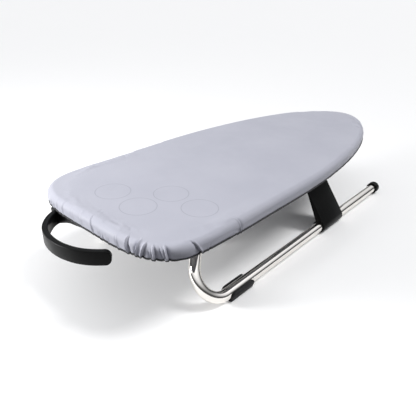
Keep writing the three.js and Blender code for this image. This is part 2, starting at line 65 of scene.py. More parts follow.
SPLAY = math.radians(37.2)                  # each leg's lean from upright


# ---- materials ---------------------------------------------------------------------
class Shader:
    """A Principled material and short ways to feed it from procedural nodes."""

    def __init__(self, name, color, roughness, metallic=0.0, **sockets):
        self.material = bpy.data.materials.new(name)
        self.material.use_nodes = True
        self.tree = self.material.node_tree
        self.bsdf = self.tree.nodes["Principled BSDF"]
        self.set("Base Color", (*color, 1.0))
        self.set("Roughness", roughness)
        self.set("Metallic", metallic)
        for socket, value in sockets.items():
            self.set(socket.replace("_", " "), value)
        self.coords = self.node("ShaderNodeTexCoord").outputs["Object"]
        self.normal = None

    def set(self, socket, value):
        self.bsdf.inputs[socket].default_value = value

    def node(self, kind, **settings):
        made = self.tree.nodes.new(kind)
        for key, value in settings.items():
            setattr(made, key, value)
        return made

    def link(self, output, target):
        self.tree.links.new(output, target)

    def put(self, target, value):
        if isinstance(value, bpy.types.NodeSocket):
            self.link(value, target)
        else:
            target.default_value = value

    def math(self, operation, a, b=0.0):
        made = self.node("ShaderNodeMath", operation=operation)
        for i, value in enumerate((a, b)):
            self.put(made.inputs[i], value)
        return made.outputs[0]

    def scaled(self, scale):
        made = self.node("ShaderNodeMapping")
        self.link(self.coords, made.inputs["Vector"])
        made.inputs["Scale"].default_value = scale
        return made.outputs["Vector"]

    def noise(self, scale, detail, roughness=0.5, vector=None, distortion=0.0):
        made = self.node("ShaderNodeTexNoise")
        self.link(vector or self.coords, made.inputs["Vector"])
        made.inputs["Scale"].default_value = scale
        made.inputs["Detail"].default_value = detail
        made.inputs["Roughness"].default_value = roughness
        made.inputs["Distortion"].default_value = distortion
        return made.outputs["Fac"]

    def voronoi(self, scale):
        made = self.node("ShaderNodeTexVoronoi")
        self.link(self.coords, made.inputs["Vector"])
        made.inputs["Scale"].default_value = scale
        return made.outputs["Distance"]

    def wave(self, scale, direction, distortion):
        made = self.node("ShaderNodeTexWave", bands_direction=direction)
        self.link(self.coords, made.inputs["Vector"])
        made.inputs["Scale"].default_value = scale
        made.inputs["Distortion"].default_value = distortion
        return made.outputs["Fac"]

    def remap(self, value, low, high, new_low, new_high):
        made = self.node("ShaderNodeMapRange")
        for i, v in enumerate((value, low, high, new_low, new_high)):
            self.put(made.inputs[i], v)
        return made.outputs["Result"]

    def mix(self, factor, a, b):
        made = self.node("ShaderNodeMix", data_type="RGBA")
        self.put(made.inputs["Factor"], factor)
        for name, value in (("A", a), ("B", b)):
            target = [s for s in made.inputs if s.name == name and s.type == "RGBA"][0]
            if isinstance(value, tuple):
                value = (*value, 1.0)
            self.put(target, value)
        return [s for s in made.outputs if s.type == "RGBA"][0]

    def color(self, value):
        self.link(value, self.bsdf.inputs["Base Color"])

    def rough(self, value):
        self.link(value, self.bsdf.inputs["Roughness"])

    def bump(self, height, depth, strength=1.0):
        """Adds relief of that depth in metres; each call adds to the last."""
        made = self.node("ShaderNodeBump")
        made.inputs["Strength"].default_value = strength
        made.inputs["Distance"].default_value = depth
        self.link(height, made.inputs["Height"])
        if self.normal is not None:
            self.link(self.normal, made.inputs["Normal"])
        self.normal = made.outputs["Normal"]
        self.link(self.normal, self.bsdf.inputs["Normal"])

    def clear_from_behind(self):
        """Hides the face's back, so that a view from under the floor shows what stands on it."""
        behind = self.node("ShaderNodeNewGeometry").outputs["Backfacing"]
        either = self.node("ShaderNodeMixShader")
        self.link(behind, either.inputs[0])
        self.link(self.bsdf.outputs["BSDF"], either.inputs[1])
        self.link(self.node("ShaderNodeBsdfTransparent").outputs["BSDF"], either.inputs[2])
        self.link(either.outputs["Shader"], self.tree.nodes["Material Output"].inputs["Surface"])


def weave(shader, threads_per_metre, depth):
    """A plain weave: crossed rows of threads, a little uneven."""
    scale = threads_per_metre / 10
    across = shader.wave(scale, "X", distortion=0.4)
    along = shader.wave(scale, "Y", distortion=0.4)
    shader.bump(shader.math("MULTIPLY", across, along), depth)


# Thin printed rings near the wide end: x from that end, y from the centre line, all in metres.
RING_CENTRES = ((0.073, 0.035), (0.068, -0.027), (0.127, -0.030), (0.123, -0.090))
RING_RADIUS = 25.5 * MM
RING_LINE = 0.55 * MM


def printed_rings(shader):
    """1 on a ring's thin line and 0 elsewhere, on the board's top only."""
    parts = shader.node("ShaderNodeSeparateXYZ")
    shader.link(shader.coords, parts.inputs[0])
    total = None
    for x, y in RING_CENTRES:
        dx = shader.math("SUBTRACT", parts.outputs["X"], BOARD_X + x)
        dy = shader.math("SUBTRACT", parts.outputs["Y"], y)
        square = shader.math("ADD", shader.math("MULTIPLY", dx, dx), shader.math("MULTIPLY", dy, dy))
        off = shader.math("ABSOLUTE", shader.math("SUBTRACT", shader.math("SQRT", square), RING_RADIUS))
        line = shader.remap(off, RING_LINE * 0.5, RING_LINE * 1.4, 1.0, 0.0)
        total = line if total is None else shader.math("MAXIMUM", total, line)
    on_top = shader.remap(parts.outputs["Z"], TOP_Z - 8 * MM, TOP_Z - 5 * MM, 0.0, 1.0)
    return shader.math("MULTIPLY", total, on_top)


def cover_material():
    """Silvered cotton: a faint cloudiness, metal flecks, printed rings, soft relief and a fine weave."""
    s = Shader("silver_cotton", (0.43, 0.435, 0.50), 0.52, Sheen_Weight=0.12, Sheen_Roughness=0.4)
    s.set("Specular IOR Level", 0.16)
    cloud = s.noise(9.0, 4.0, 0.55)
    shade = s.mix(s.remap(cloud, 0.35, 0.65, 0.0, 1.0), (0.418, 0.424, 0.488), (0.452, 0.457, 0.520))
    fleck = s.noise(2600.0, 2.0, 0.6)
    shade = s.mix(s.remap(fleck, 0.35, 0.75, 0.0, 0.22), shade, (0.55, 0.555, 0.61))
    shade = s.mix(s.math("MULTIPLY", printed_rings(s), 0.55), shade, (0.26, 0.265, 0.32))
    s.color(shade)
    s.rough(s.remap(s.noise(40.0, 4.0), 0.3, 0.7, 0.44, 0.60))
    s.bump(s.noise(7.0, 3.0, 0.5, distortion=0.6), 1.6 * MM, 0.5)
    s.bump(s.noise(26.0, 3.0, 0.55, distortion=1.2), 0.45 * MM, 0.55)
    weave(s, 2200, 0.05 * MM)
    return s.material


def felt_material():
    s = Shader("felt", (0.70, 0.68, 0.62), 0.95, Sheen_Weight=0.6)
    fibres = s.noise(900.0, 5.0, 0.7, distortion=2.0)
    s.color(s.mix(s.remap(fibres, 0.3, 0.7, 0.0, 1.0), (0.60, 0.58, 0.52), (0.78, 0.76, 0.71)))
    s.bump(fibres, 0.35 * MM)
    return s.material


def elastic_material():
    s = Shader("black_elastic", (0.012, 0.012, 0.014), 0.8, Sheen_Weight=0.15)
    ribs = s.wave(60.0, "DIAGONAL", distortion=0.5)
    s.color(s.mix(ribs, (0.009, 0.009, 0.011), (0.022, 0.022, 0.025)))
    s.bump(ribs, 0.3 * MM)
    return s.material


def chrome_material():
    """Chrome plate, wiped unevenly, with fine scratches along the board and a slight ripple."""
    s = Shader("chrome", (0.87, 0.842, 0.80), 0.07, 1.0)
    smear = s.noise(30.0, 5.0, 0.6, vector=s.scaled((0.4, 1.0, 1.0)))
    s.rough(s.remap(smear, 0.35, 0.75, 0.045, 0.13))
    scratches = s.noise(700.0, 2.0, 0.5, vector=s.scaled((0.02, 1.0, 1.0)))
    s.bump(scratches, 0.004 * MM, 0.35)
    s.bump(s.noise(14.0, 2.0, 0.5), 0.05 * MM, 0.3)
    return s.material


def painted_material():
    s = Shader("powder_coat", (0.47, 0.48, 0.51), 0.42)
    peel = s.noise(520.0, 2.0, 0.5)
    s.color(s.mix(s.remap(s.noise(24.0, 4.0), 0.3, 0.7, 0.0, 1.0), (0.44, 0.45, 0.48), (0.50, 0.51, 0.54)))
    s.rough(s.remap(peel, 0.3, 0.7, 0.36, 0.52))
    s.bump(peel, 0.12 * MM, 0.6)
    return s.material


def zinc_material():
    s = Shader("zinc_steel", (0.56, 0.56, 0.57), 0.3, 1.0)
    spangle = s.voronoi(900.0)
    s.color(s.mix(s.remap(spangle, 0.0, 0.8, 0.0, 1.0), (0.48, 0.485, 0.50), (0.66, 0.655, 0.64)))
    s.rough(s.remap(s.noise(600.0, 3.0), 0.3, 0.7, 0.22, 0.42))
    s.bump(s.noise(1500.0, 2.0), 0.02 * MM, 0.5)
    return s.material


def plastic_material(name, color, roughness):
    """A moulded plastic with a fine spark-eroded grain, rubbed smoother in places."""
    grain = 2400.0
    s = Shader(name, color, roughness)
    s.set("Specular IOR Level", 0.08)
    rubbed = s.noise(45.0, 4.0, 0.6)
    lighter = tuple(c * 1.6 + 0.001 for c in color)
    s.color(s.mix(s.remap(rubbed, 0.35, 0.7, 0.0, 1.0), color, lighter))
    s.rough(s.remap(rubbed, 0.3, 0.7, roughness + 0.08, roughness - 0.07))
    s.bump(s.voronoi(grain), 0.035 * MM, 0.5)
    return s.material


def rubber_material():
    s = Shader("foot_rubber", (0.009, 0.009, 0.010), 0.62)
    s.set("Specular IOR Level", 0.25)
    dust = s.noise(160.0, 5.0, 0.7)
    s.color(s.mix(s.remap(dust, 0.5, 0.8, 0.0, 0.5), (0.007, 0.007, 0.008), (0.03, 0.03, 0.032)))
    s.rough(s.remap(dust, 0.3, 0.7, 0.52, 0.74))
    s.bump(s.noise(1900.0, 3.0), 0.05 * MM, 0.5)
    return s.material


def thread_material():
    s = Shader("stitch_thread", (0.50, 0.51, 0.57), 0.7, Sheen_Weight=0.3)
    twist = s.wave(420.0, "DIAGONAL", distortion=0.2)
    s.color(s.mix(twist, (0.40, 0.41, 0.47), (0.58, 0.59, 0.65)))
    s.bump(twist, 0.08 * MM)
    return s.material


SILVER = cover_material()
FELT = felt_material()
ELASTIC = elastic_material()
CHROME = chrome_material()
PAINT = painted_material()
ZINC = zinc_material()
BLACK = plastic_material("black_plastic", (0.0032, 0.0034, 0.0034), 0.34)
GREY = plastic_material("grey_plastic", (0.055, 0.058, 0.064), 0.5)
RUBBER = rubber_material()
THREAD = thread_material()


# ---- mesh helpers ------------------------------------------------------------------
CAD_WELD = 0.004 * MM                       # joins the CAD mesh's doubled corners
FACET_ANGLE = math.radians(1.5)             # neighbouring faces flatter than this are one face
SHARP_ANGLE = math.radians(35)              # edges sharper than this are rounded


def new_object(name, vertices, faces, material, body):
    mesh = bpy.data.meshes.new(name)
    mesh.from_pydata([tuple(v) for v in vertices], [], faces)
    return dress(name, mesh, material, body)


def dress(name, mesh, material, body):
    """A mesh as a finished piece: outward faces, one material, riding on its body."""
    bm = bmesh.new()
    bm.from_mesh(mesh)
    bmesh.ops.recalc_face_normals(bm, faces=bm.faces)
    bm.to_mesh(mesh)
    bm.free()
    mesh.materials.clear()
    mesh.materials.append(material)
    obj = bpy.data.objects.new(name, mesh)
    bpy.context.scene.collection.objects.link(obj)
    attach(obj, body)
    return obj


def weld(obj):
    """Merges the doubled points where a closed sweep meets itself."""
    bm = bmesh.new()
    bm.from_mesh(obj.data)
    bmesh.ops.remove_doubles(bm, verts=bm.verts, dist=0.01 * MM)
    bmesh.ops.recalc_face_normals(bm, faces=bm.faces)
    bm.to_mesh(obj.data)
    bm.free()


def smooth(obj, angle):
    """Shades the piece smooth, apart from edges sharper than the angle in degrees."""
    obj.data.polygons.foreach_set("use_smooth", [True] * len(obj.data.polygons))
    obj.data.set_sharp_from_angle(angle=math.radians(angle))
    return obj


def moulded(node, name, radius, material, body, segments=3):
    """The CAD node's own shape with its facets merged and its sharp edges rounded."""
    source = frame["nodes"][node]
    bm = bmesh.new()
    bm.from_mesh(source.data)
    bmesh.ops.remove_doubles(bm, verts=bm.verts, dist=CAD_WELD)
    bmesh.ops.dissolve_limit(bm, angle_limit=FACET_ANGLE, verts=bm.verts, edges=bm.edges)
    sharp = [e for e in bm.edges if e.is_manifold and e.calc_face_angle(0) > SHARP_ANGLE]
    bmesh.ops.bevel(
        bm, geom=sharp, offset=radius, segments=segments, profile=0.5,
        affect="EDGES", clamp_overlap=True,
    )
    mesh = bpy.data.meshes.new(name)
    bm.to_mesh(mesh)
    bm.free()
    obj = smooth(dress(name, mesh, material, body), 40)
    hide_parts(node)
    return obj


def loft(rings, cap_start=False, cap_end=False):
    """Quads between neighbouring closed rings of equal count; returns vertices and faces."""
    count = len(rings[0])
    vertices = [p for ring in rings for p in ring]
    faces = []
    for r in range(len(rings) - 1):
        for i in range(count):
            j = (i + 1) % count
            faces.append((r * count + i, r * count + j, (r + 1) * count + j, (r + 1) * count + i))
    if cap_start:
        faces.append(tuple(range(count)))
    if cap_end:
        faces.append(tuple(range((len(rings) - 1) * count, len(rings) * count)))
    return vertices, faces


# ---- board outline -----------------------------------------------------------------
def closed_outline():
    """The board's edge as closely spaced points, and each one's distance round it.

    It starts at the middle of the wide end and runs along the far side first.
    """
    a = np.linspace(0, math.pi / 2, 3000)
    wide_end = np.stack([
        WIDE_END * (1 - np.cos(a) ** (2 / WIDE_END_POWER)),
        HALF_WIDTH * np.sin(a) ** (2 / WIDE_END_POWER),
    ], 1)
    b = a[::-1]
    nose = np.stack([
        TAPER_START + (LENGTH - TAPER_START) * np.maximum(np.cos(b), 0) ** (2 / NOSE_POWER),
        HALF_WIDTH * np.sin(b) ** (2 / NOSE_POWER),
    ], 1)
    far_side = np.concatenate([wide_end, nose])
    ring = np.concatenate([far_side, far_side[-2:0:-1] * (1, -1), far_side[:1]])
    ring[:, 0] += BOARD_X
    steps = np.linalg.norm(np.diff(ring, axis=0), axis=1)
    return ring, np.concatenate([[0], np.cumsum(steps)])


OUTLINE, OUTLINE_AT = closed_outline()
PERIMETER = OUTLINE_AT[-1]


def on_outline(at):
    at = np.mod(at, PERIMETER)
    return np.stack([np.interp(at, OUTLINE_AT, OUTLINE[:, k]) for k in (0, 1)], 1)


def board_edge(at):
    """Points on the board's edge at those distances round it, and their outward normals."""
    reach = 1.0 * MM
    along = on_outline(at + reach) - on_outline(at - reach)
    along /= np.linalg.norm(along, axis=1)[:, None]
    return on_outline(at), np.stack([-along[:, 1], along[:, 0]], 1)


def place_of(x, y):
    """The distance round the edge nearest to a point x from the wide end and y from the middle."""
    nearest = np.argmin(np.hypot(OUTLINE[:, 0] - BOARD_X - x, OUTLINE[:, 1] - y))
    return OUTLINE_AT[nearest]


def gap_round(at, place):
    """The signed way round the edge from a place to each of the given ones."""
    return np.mod(at - place + PERIMETER / 2, PERIMETER) - PERIMETER / 2


def smoothstep(value, low, high):
    t = np.clip((value - low) / (high - low), 0, 1)
    return t * t * (3 - 2 * t)


# ---- padded cover ------------------------------------------------------------------
EDGE_ROUND = 9 * MM                         # the padded edge's rounding
UNDER_ROUND = 1.8 * MM                      # the rounding where the cloth turns under the board
HEM_INSET = 27 * MM                         # how far the cloth reaches under the board
CASING = 8 * MM                             # the hem's turned-in channel
CLOTH = 0.7 * MM                            # the cloth's thickness
TOP_REACH = 150 * MM                        # from the top's rim to the board's middle line
SPINE_ENDS = (125 * MM, 600 * MM)           # the middle line's ends, from the wide end
GATHERED = 330 * MM                         # the gathered reach, each way from the wide end's middle


def cloth_rows():
    """The cloth's rows from its middle out and under the board.

    Each is (distance down the cloth from the flat top's rim, outward offset, height, tilt),
    with the tilt from 0 on the flat top through a right angle on the side to a half turn below.
    """
    flat_top = (*range(141, 48, -12), *range(44, 0, -4))
    rows = [(-inset * MM, None, TOP_Z, 0.0) for inset in flat_top]
    side = TOP_Z - EDGE_ROUND
    for i in range(10):
        a = i / 9 * math.pi / 2
        rows.append((a * EDGE_ROUND, EDGE_ROUND * (math.sin(a) - 1), side + EDGE_ROUND * math.cos(a), a))
    down = EDGE_ROUND * math.pi / 2
    side_depth = side - EDGE_Z - UNDER_ROUND
    for t in np.linspace(0, 1, 7)[1:]:
        rows.append((down + t * side_depth, 0.0, side - t * side_depth, math.pi / 2))
    down += side_depth
    for i in range(1, 4):
        a = i / 3 * math.pi / 2
        rows.append((
            down + a * UNDER_ROUND, UNDER_ROUND * (math.cos(a) - 1),
            EDGE_Z + UNDER_ROUND * (1 - math.sin(a)), math.pi / 2 + a,
        ))
    down += UNDER_ROUND * math.pi / 2
    flat = HEM_INSET - UNDER_ROUND
    for t in np.linspace(0, 1, 10)[1:]:
        rows.append((down + t * flat, -UNDER_ROUND - t * flat, EDGE_Z, math.pi))
    return rows


ROWS = cloth_rows()
HEM_AT = ROWS[-1][0]
UNDER_AT = HEM_AT - (HEM_INSET - UNDER_ROUND)


def cloth_grid(at, rows=ROWS):
    """The smooth cover as an array of points: one row of the cloth by one column round the edge."""
    points, normals = board_edge(at)
    rim = points - normals * EDGE_ROUND
    low, high = (BOARD_X + end for end in SPINE_ENDS)
    spine = np.stack([np.clip(rim[:, 0], low, high), np.zeros(len(at))], 1)
    grid = []
    for down, offset, height, _ in rows:
        if offset is None:
            flat = spine + (rim - spine) * (1 + down / TOP_REACH)
        else:
            flat = points + normals * offset
        grid.append(np.column_stack([flat, np.full(len(at), height)]))
    return np.array(grid)


def grid_object(name, grid):
    """The cloth's points as a mesh of quads, open at its middle and at its hem."""
    vertices, faces = loft(list(grid))
    mesh = bpy.data.meshes.new(name)
    mesh.from_pydata([tuple(v) for v in vertices], [], faces)
    obj = bpy.data.objects.new(name, mesh)
    bpy.context.scene.collection.objects.link(obj)
    return obj


def cut_rows(excess):
    """The rows as the cloth was cut: wider than the board, before the hem was drawn in."""
    rows = []
    last_down, last_offset, last_height = 0.0, -EDGE_ROUND, TOP_Z
    for down, offset, height, tilt in ROWS:
        if offset is None or down == 0:
            rows.append((down, offset, height, tilt))
            continue
        wide = offset * (1 - excess) + (down - EDGE_ROUND) * excess
        step = down - last_down
        spread = min(wide - last_offset, step)
        drop = math.sqrt(step * step - spread * spread)
        last_down, last_offset, last_height = down, last_offset + spread, last_height - drop
        rows.append((last_down, last_offset, last_height, tilt))
    return rows


CUT_WIDE = 0.35                             # how much of its fall the cut cloth keeps as width
SETTLING_FRAMES = 22
SETTLING_COLUMNS = 480
MOST_SETTLING = 1.0 * MM                    # the pad lies closely under the cloth


def settling_cloth(at, grid):
    """The cloth ready to settle: cut wide, held in the middle of its top and along its hem."""
    cloth = grid_object("settling_cloth", grid)
    cloth.shape_key_add(name="Basis")
    cut = cloth.shape_key_add(name="cut")
    cut.data.foreach_set("co", cloth_grid(at, cut_rows(CUT_WIDE)).ravel())
    pins = cloth.vertex_groups.new(name="held")
    for r, (down, _, _, _) in enumerate(ROWS):
        weight = 1.0 if down > HEM_AT - 4 * MM else float(smoothstep(-down, 12 * MM, 48 * MM))
        if weight > 0:
            pins.add(list(range(r * len(at), (r + 1) * len(at))), weight, "REPLACE")
    modifier = cloth.modifiers.new("cloth", "CLOTH")
    settings = modifier.settings
    settings.quality = 6
    settings.mass = 0.15
    settings.tension_stiffness = 40
    settings.compression_stiffness = 40
    settings.shear_stiffness = 12
    settings.bending_stiffness = 0.6
    settings.air_damping = 2
    settings.vertex_group_mass = "held"
    settings.pin_stiffness = 8
    settings.rest_shape_key = cut
    settings.effector_weights.gravity = 0
    modifier.collision_settings.use_self_collision = False
    modifier.collision_settings.collision_quality = 3
    modifier.collision_settings.distance_min = 0.3 * MM
    modifier.point_cache.frame_start = 1
    modifier.point_cache.frame_end = SETTLING_FRAMES
    return cloth


def after_settling(cloth):
    """The cloth's points once every frame has run."""
    scene = bpy.context.scene
    for frame_number in range(1, SETTLING_FRAMES + 1):
        scene.frame_set(frame_number)
    shown = cloth.evaluated_get(bpy.context.evaluated_depsgraph_get())
    points = np.array([v.co for v in shown.to_mesh().vertices])
    shown.to_mesh_clear()
    scene.frame_set(1)
    return points


def settled(at):
    """How far each point moves when the cover, cut wide and drawn in at its hem, is let settle.

    The form is a little smaller than the cover, so each row's mean step is taken off again.
    """
    grid = cloth_grid(at)
    cloth = settling_cloth(at, grid)
    form = form_block(at)
    step = after_settling(cloth).reshape(grid.shape) - grid
    for obj in (cloth, form):
        bpy.data.objects.remove(obj)
    _, normals = board_edge(at)
    outward = np.einsum("rck,ck->rc", step[:, :, :2], normals)
    step[:, :, :2] -= outward.mean(axis=1)[:, None, None] * normals
    step[:, :, 2] -= step[:, :, 2].mean(axis=1)[:, None]
    far = np.linalg.norm(step, axis=2)
    step *= np.minimum(1.0, MOST_SETTLING / np.maximum(far, 1e-9))[:, :, None]
    downs = np.array([row[0] for row in ROWS])
    return step * smoothstep(downs, -30 * MM, -6 * MM)[:, None, None]


def form_block(at):
    """The padded deck as a plain closed block for the cloth to lie on while it settles."""
    shell = 1.0 * MM
    inner = -30 * MM
    round_top = EDGE_ROUND - shell
    profile = [(inner, TOP_Z - shell), (-EDGE_ROUND, TOP_Z - shell)]
    for i in range(1, 6):
        a = i / 5 * math.pi / 2
        height = TOP_Z - EDGE_ROUND + round_top * math.cos(a)
        profile.append((round_top * math.sin(a) - EDGE_ROUND, height))
    profile += [(-shell, EDGE_Z + UNDER_ROUND), (-UNDER_ROUND, EDGE_Z + shell), (inner, EDGE_Z + shell)]
    points, normals = board_edge(at)
    rings = [
        np.column_stack([points + normals * offset, np.full(len(at), height)])
        for offset, height in profile
    ]
    vertices, faces = loft(rings, cap_start=True, cap_end=True)
    mesh = bpy.data.meshes.new("form")
    mesh.from_pydata([tuple(v) for v in vertices], [], faces)
    bm = bmesh.new()
    bm.from_mesh(mesh)
    bmesh.ops.recalc_face_normals(bm, faces=bm.faces)
    bmesh.ops.triangulate(bm, faces=[f for f in bm.faces if len(f.verts) > 4])
    bm.to_mesh(mesh)
    bm.free()
    form = bpy.data.objects.new("form", mesh)
    bpy.context.scene.collection.objects.link(form)
    form.modifiers.new("collision", "COLLISION")
    form.collision.thickness_outer = 0.3 * MM
    form.collision.cloth_friction = 4
    return form


# A crease runs down the cloth from head to foot, both places round the edge, and starts at `top` down
# the cloth. Its cloth is heaped on one side, +1 or -1 round the edge.
Crease = namedtuple("Crease", "head foot top depth width side")

# The strong gathers that the drawn hem makes at the wide end's near corner: head and foot as
# (x from the wide end, y), then top, depth and width, all in millimetres, and the heaped side.
CORNER_GATHERS = (
    ((0, 90), (0, 86), 5, 0.9, 1.0, -1),
    ((0, 72), (0, 70), 1, 1.0, 1.1, 1),
    ((0, 56), (0, 53), -3, 1.2, 1.1, 1),
    ((0, 36), (0, 30), 0, 1.1, 1.0, -1),
    ((0, 18), (0, 10), -4, 1.2, 0.9, -1),
    ((0, -4), (0, -20), -5, 1.4, 0.85, 1),
    ((0, -28), (0, -32), 10, 1.4, 0.9, -1),
    ((0, -37), (0, -39), 13, 1.4, 0.8, 1),
    ((0, -45), (0, -48), 11, 1.4, 0.9, -1),
    ((0, -60), (0, -66), 5, 2.0, 1.0, -1),
    ((3, -78), (3, -86), -2, 3.8, 1.0, 1),
    ((7, -96), (5, -93), -3, 3.4, 0.95, -1),
    ((9, -108), (9, -103), 0, 3.8, 1.0, 1),
    ((12, -110), (13, -114), 9, 3.0, 0.85, -1),
    ((14, -116), (17, -119), 2, 3.4, 0.95, 1),
    ((18, -121), (23, -127), 4, 3.8, 0.85, -1),
    ((23, -127), (27, -131), 1, 4.0, 0.95, 1),
    ((50, -142), (65, -148), -2, 3.8, 0.9, -1),
    ((79, -149), (78, -149), 14, 1.6, 0.9, 1),
    ((132, -150), (141, -150), -5, 1.5, 0.75, 1),
)
CORNER_BULGE = (40 * MM, -140 * MM)         # where the cloth hangs fullest, between two folds
BULGE_WIDTH = 17 * MM
BULGE_DEPTH = 2.4 * MM
HEM_SAG = 0.8 * MM                          # how far a heap can hang below the elastic

# A crease's section: a valley, steep towards the heap and gentle away from it, and the heap beside it.
STEEP = 1.9
GENTLE = 0.62
VALLEY_POWER = 1.25
HEAP = 0.95                                 # its height as a share of the valley's depth
HEAP_AT = 2.0                               # in crease widths
HEAP_WIDTH = 1.25
FADE_IN = 9 * MM                            # a crease's first part, down the cloth
HEM_EVENS = 0.52                            # how much of a crease the elastic takes out
CASING_EVENS = 0.3                          # and how much more goes along the hem under the board


def gathers():
    """Every crease: the strong ones at the near corner, then smaller ones where the hem is drawn in.

    Each stretch of the smaller ones is its ends round the edge, then depth, spacing and top in
    millimetres.
    """
    made = []
    for head, foot, top, depth, width, side in CORNER_GATHERS:
        places = [place_of(x * MM, y * MM) for x, y in (head, foot)]
        made.append(Crease(*places, top * MM, depth * MM, width * MM, side))
    rng = random.Random(11)
    far_corner = (70 * MM, 300 * MM)
    nose = (PERIMETER / 2 - 150 * MM, PERIMETER / 2 + 150 * MM)
    near_side = (PERIMETER - 560 * MM, PERIMETER - 270 * MM)
    for (start, end), depth, spacing, top in (
        (far_corner, 2.2, 15, 9), (nose, 1.0, 16, 15), (near_side, 0.5, 26, 17),
    ):
        at = start
        while at < end:
            lean = rng.uniform(-5, 5) * MM
            size = rng.uniform(0.45, 1.0)
            made.append(Crease(
                at, at + lean, (top + rng.uniform(-4, 4)) * MM, depth * size * MM,
                rng.uniform(1.3, 2.0) * MM, rng.choice((-1, 1)),
            ))
            at += spacing * rng.uniform(0.6, 1.4) * MM
    return made


def pucker(at, down, creases):
    """How far the cloth sinks (negative) or puffs at each place round the edge, `down` along it."""
    total = np.zeros(len(at))
    for crease in creases:
        fade = float(smoothstep(down, crease.top, crease.top + FADE_IN))
        if fade == 0:
            continue
        travel = (down - crease.top) / (UNDER_AT - crease.top)
        depth = crease.depth * fade * min(1.0, 0.35 + 0.9 * travel)
        middle = crease.head + float(gap_round(crease.foot, crease.head)) * min(travel, 1.3)
        width = crease.width * (0.7 + 0.5 * min(travel, 1.0))
        across = gap_round(at, middle)
        toward_heap = across * crease.side / width
        flank = np.where(toward_heap > 0, STEEP * toward_heap, -GENTLE * toward_heap)
        valley = -np.exp(-flank ** VALLEY_POWER)
        heap = HEAP * np.exp(-((toward_heap - HEAP_AT) / HEAP_WIDTH) ** 2)
        total += depth * (valley + heap)
    bulge = gap_round(at, place_of(*CORNER_BULGE))
    fullness = smoothstep(down, -4 * MM, 16 * MM) * np.exp(-(bulge / BULGE_WIDTH) ** 2)
    return total + BULGE_DEPTH * fullness


def gathered(grid, at):
    """The cloth with its creases pressed in square to its surface.

    The elastic evens them at the hem and holds their heaps up to its own line.
    """
    creases = gathers()
    _, normals = board_edge(at)
    for row, (down, _, _, tilt) in zip(grid, ROWS):
        evened = HEM_EVENS * float(smoothstep(down, UNDER_AT - 9 * MM, UNDER_AT))
        evened += CASING_EVENS * float(smoothstep(down, UNDER_AT, UNDER_AT + 14 * MM))
        lift = pucker(at, down, creases) * (1 - evened)
        row[:, :2] += normals * (math.sin(tilt) * lift)[:, None]
        rise = math.cos(tilt) * lift
        row[:, 2] += np.maximum(rise, -HEM_SAG) if tilt > math.pi / 2 else rise
    return grid


def column_places():
    """Close columns where the cloth is gathered, wider ones along the sides and round the nose."""
    near_corner = np.arange(-GATHERED, 0, 0.7 * MM)
    far_corner = np.arange(0, GATHERED, 1.5 * MM)
    elsewhere = np.linspace(GATHERED, PERIMETER - GATHERED, 240)[:-1]
    return np.sort(np.mod(np.concatenate([near_corner, far_corner, elsewhere]), PERIMETER))


def settled_between(at):
    """The settling worked out at evenly spaced columns and read off at the given ones."""
    even = np.linspace(0, PERIMETER, SETTLING_COLUMNS, endpoint=False)
    step = settled(even)
    return np.stack([
        np.stack([np.interp(at, even, row[:, k], period=PERIMETER) for k in range(3)], 1)
        for row in step
    ])


def turn_hem(bm, last, at):
    """Folds the hem's raw edge up and outward, between the cloth and the board."""
    points, normals = board_edge(at)
    rows = [last]
    for inset, rise in ((HEM_INSET + 0.4 * MM, 1.0), (HEM_INSET, 2.0), (HEM_INSET - CASING, 2.2)):
        flat = points - normals * inset
        rows.append([bm.verts.new((x, y, v.co.z + rise * MM)) for (x, y), v in zip(flat, last)])
    for a, b in zip(rows, rows[1:]):
        for i in range(len(last)):
            j = (i + 1) % len(last)
            bm.faces.new((a[i], a[j], b[j], b[i]))


def padded_cover():
    """The whole cover as one cloth, with the points and columns that its trimmings follow."""
    at = column_places()
    grid = cloth_grid(at)
    grid += settled_between(at)
    grid = gathered(grid, at)
    cover = grid_object("cover_cloth", grid)
    bm = bmesh.new()
    bm.from_mesh(cover.data)
    bm.verts.ensure_lookup_table()
    hem = bm.verts[-len(at):]
    bm.faces.new(bm.verts[:len(at)])        # the flat middle, inside the first row
    turn_hem(bm, hem, at)
    bmesh.ops.recalc_face_normals(bm, faces=bm.faces)
    top = max(bm.faces, key=lambda face: face.calc_center_median().z)
    if top.normal.z < 0:
        bmesh.ops.reverse_faces(bm, faces=bm.faces)
    bm.to_mesh(cover.data)
    bm.free()
    cover.data.materials.append(SILVER)
    smooth(cover, 80)
    thick = cover.modifiers.new("thickness", "SOLIDIFY")
    thick.thickness = CLOTH
    thick.offset = -1
    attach(cover, "board")
    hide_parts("cover")
    return cover, grid, at


cover, cloth, cloth_at = padded_cover()


# ---- hem stitches ------------------------------------------------------------------
STITCH_PITCH = 3.6 * MM
STITCH_LENGTH = 2.6 * MM
STITCH_WIDTH = 0.35 * MM                    # each way from the thread's middle
STITCH_INSET = HEM_INSET - CASING + 1 * MM


